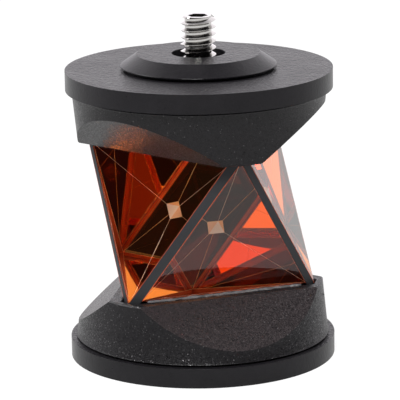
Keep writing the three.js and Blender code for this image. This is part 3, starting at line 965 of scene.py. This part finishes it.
edge_grind = 0.03 * mm
front_face, coated_face, trimmed_face, broken_face = range(4)
back_facing = -1 / math.sqrt(3)
same_plane = 0.01
for number in range(1, 7):
    turn = (number - 1) * sixth
    lean = -face_lean if number % 2 else face_lean
    outwards = Vector((
        math.sin(turn) * math.cos(lean),
        -math.cos(turn) * math.cos(lean),
        math.sin(lean),
    ))
    cube = merged_copy(f"corner_cube_{number}", f"prism_{number}")
    bpy.ops.object.modifier_add(type="BEVEL")
    grind = cube.modifiers[-1]
    grind.width = edge_grind
    grind.segments = 1
    grind.limit_method = "ANGLE"
    grind.angle_limit = math.radians(20)
    bpy.ops.object.modifier_apply(modifier=grind.name)
    bpy.ops.object.shade_flat()
    fitted(cube, f"prism_{number}", glass)
    cube.data.materials.append(copper)
    cube.data.materials.append(copper_glow_side)
    cube.data.materials.append(copper_glow_edge)
    for face in cube.data.polygons:
        facing = face.normal.dot(outwards)
        if facing > 1 - same_plane:
            face.material_index = front_face
        elif abs(facing - back_facing) < same_plane:
            face.material_index = coated_face
        elif facing > -same_plane:
            face.material_index = trimmed_face
        else:
            face.material_index = broken_face


# The edge seals: strips of black sealant, pressed into the grooves between the corner cubes
# and wiped flat just below the front faces.
seal_edge = 0.03 * mm
for number in range(1, 7):
    seal = merged_copy(f"pressed_edge_seal_{number}", f"edge_seal_{number}")
    softened(seal, seal_edge, segments=2)
    fitted(seal, f"edge_seal_{number}", rubber)


# The face beads: a thin line of grey sealant, smoothed by hand, along each front face where
# it meets its housing. No two are alike.
sealant, sealant_tree, sealant_shader = finish_named("grey_sealant")
sealant_grain = apply_effect(sealant_tree, blasted, Grain=3500.0, Cloud=600.0)
sealant_colour = add_node(sealant_tree, "ShaderNodeValToRGB", {
    "Fac": sealant_grain.outputs["Tone"],
})
sealant_colour.color_ramp.elements[0].position = 0.35
sealant_colour.color_ramp.elements[0].color = (0.015, 0.015, 0.016, 1.0)
sealant_colour.color_ramp.elements[1].position = 0.65
sealant_colour.color_ramp.elements[1].color = (0.12, 0.115, 0.12, 1.0)
sealant_bump = add_node(sealant_tree, "ShaderNodeBump", {
    "Height": sealant_grain.outputs["Height"],
    "Strength": 0.8,
    "Distance": 0.06 * mm,
})
sealant_tree.links.new(sealant_colour.outputs["Color"], sealant_shader.inputs["Base Color"])
sealant_tree.links.new(sealant_bump.outputs["Normal"], sealant_shader.inputs["Normal"])
sealant_shader.inputs["Roughness"].default_value = 0.45

bead_lumps = bpy.data.textures.new("bead_lumps", "CLOUDS")
bead_lumps.noise_scale = 0.9 * mm
for number in range(1, 7):
    bead = merged_copy(f"hand_laid_bead_{number}", f"face_bead_{number}")
    bpy.ops.object.modifier_add(type="REMESH")
    net = bead.modifiers[-1]
    net.mode = "VOXEL"
    net.voxel_size = 0.1 * mm
    bpy.ops.object.modifier_apply(modifier=net.name)
    bpy.ops.object.modifier_add(type="DISPLACE")
    lumps = bead.modifiers[-1]
    lumps.texture = bead_lumps
    lumps.texture_coords = "LOCAL"
    lumps.strength = 0.3 * mm
    lumps.mid_level = 0.7
    bpy.ops.object.modifier_apply(modifier=lumps.name)
    bpy.ops.object.shade_smooth()
    fitted(bead, f"face_bead_{number}", sealant)


# The upper housing: the same casting turned over, with a finer coat. It is bored for the
# seat's spigot and the tail of the stud.
stud_low, stud_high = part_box("stud")
seat_low, seat_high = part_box("stud_seat")
top_screw_low, top_screw_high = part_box("top_screw_1")
top_screw_ring = 0.5 * abs(top_screw_low.y + top_screw_high.y)
spigot_radius = 6.0 * mm
spigot_depth = 4.6 * mm
tail_depth = body_height - stud_low.z
tail_gap = 0.4 * mm
stud_drop = stud_high.z - seat_high.z
# The upper facets' added colour is a faint painted sheen.
upper_coat = coated_casting(
    "fine_black_coat", 8000.0, 0.2, 0.004, (0.004, 0.004, 0.004, 1.0)
)
upper_housing = housing("cast_upper_housing", top_screw_ring, 0.0, [
    (spigot_radius + fit_gap, disc_thickness + spigot_depth + end_gap),
    (thread_radius + tail_gap, tail_depth + stud_drop + end_gap),
])
fitted(turned_over(upper_housing), "upper_housing", upper_coat)


# The upper gasket, the top disc and its three screws: the same parts as at the base. The
# screw heads are out of sight under the stud's seat.
fitted(
    turned_over(gasket("squeezed_upper_gasket")), "upper_gasket", rubber
)
fitted(
    turned_over(disc("turned_top_disc", spigot_radius + fit_gap, top_screw_ring, 0.0)),
    "top_disc",
    anodised,
)
for number in range(3):
    screw = screw_copy(f"top_disc_screw_{number + 1}")
    turned_over(on_ring(screw, number * third, top_screw_ring))
    fitted(screw, f"top_screw_{number + 1}", steel)
bpy.data.objects.remove(screw_model)


# The seat gasket: a ring of black rubber under the seat, narrower than the seat, so that it
# shows as a dark gap.
seat_gasket_low, seat_gasket_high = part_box("seat_gasket")
seat_gasket_edge = 0.1 * mm
seat_ring = [
    (spigot_radius + fit_gap, seat_gasket_low.z),
    (seat_gasket_high.x, seat_gasket_low.z),
    (seat_gasket_high.x, seat_gasket_high.z),
    (spigot_radius + fit_gap, seat_gasket_high.z),
]
seat_gasket = turned("inset_seat_gasket", [*seat_ring, seat_ring[0]])
softened(seat_gasket, seat_gasket_edge)
fitted(seat_gasket, "seat_gasket", rubber)


# The stud's seat: a low cone turned from aluminium, with a round recess in its top. Its
# spigot goes down through the top disc into the upper housing.
seat_lip = 0.2 * mm
seat_top_radius = 11.1 * mm
recess_radius = 4.8 * mm
recess_depth = 2.0 * mm
thread_gap = 0.1 * mm
seat_bore = thread_radius + thread_gap
seat_edge = 0.07 * mm
seat_section = [
    (seat_bore, seat_low.z),
    (spigot_radius, seat_low.z),
    (spigot_radius, seat_gasket_high.z),
    (seat_high.x, seat_gasket_high.z),
    (seat_high.x, seat_gasket_high.z + seat_lip),
    (seat_top_radius, seat_high.z),
    (recess_radius, seat_high.z),
    (recess_radius, seat_high.z - recess_depth),
    (seat_bore, seat_high.z - recess_depth),
]
stud_seat = turned("turned_stud_seat", [*seat_section, seat_section[0]])
softened(stud_seat, seat_edge, segments=2, sharper_than=20.0)
fitted(stud_seat, "stud_seat", anodised)


# The stud: a plated steel set screw, 1/4 in-20, with chamfered ends and a hexagon socket
# for the key that winds it in and out.
stud_chamfer = 0.6 * mm
stud_socket_flats = 3.175 * mm
stud_socket_depth = 3.2 * mm
stud_edge = 0.05 * mm
stud = turned("threaded_stud", [
    (0.0, stud_low.z),
    (thread_radius - stud_chamfer, stud_low.z),
    (thread_radius, stud_low.z + stud_chamfer),
    (thread_radius, stud_high.z - stud_chamfer),
    (thread_radius - stud_chamfer, stud_high.z),
    (0.0, stud_high.z),
], rod_steps)
stud_turns = math.ceil((stud_high.z - stud_low.z) / thread_pitch) + 1
combined(stud, thread_groove(
    "stud_thread",
    thread_radius,
    thread_radius - thread_depth,
    stud_low.z - thread_pitch,
    stud_turns,
))
combined(stud, hexagon_key(
    stud_socket_flats, stud_high.z - stud_socket_depth, stud_high.z + overrun
))
softened(stud, stud_edge, segments=2, sharper_than=28.0)
fitted(stud, "stud", steel, body="stud")
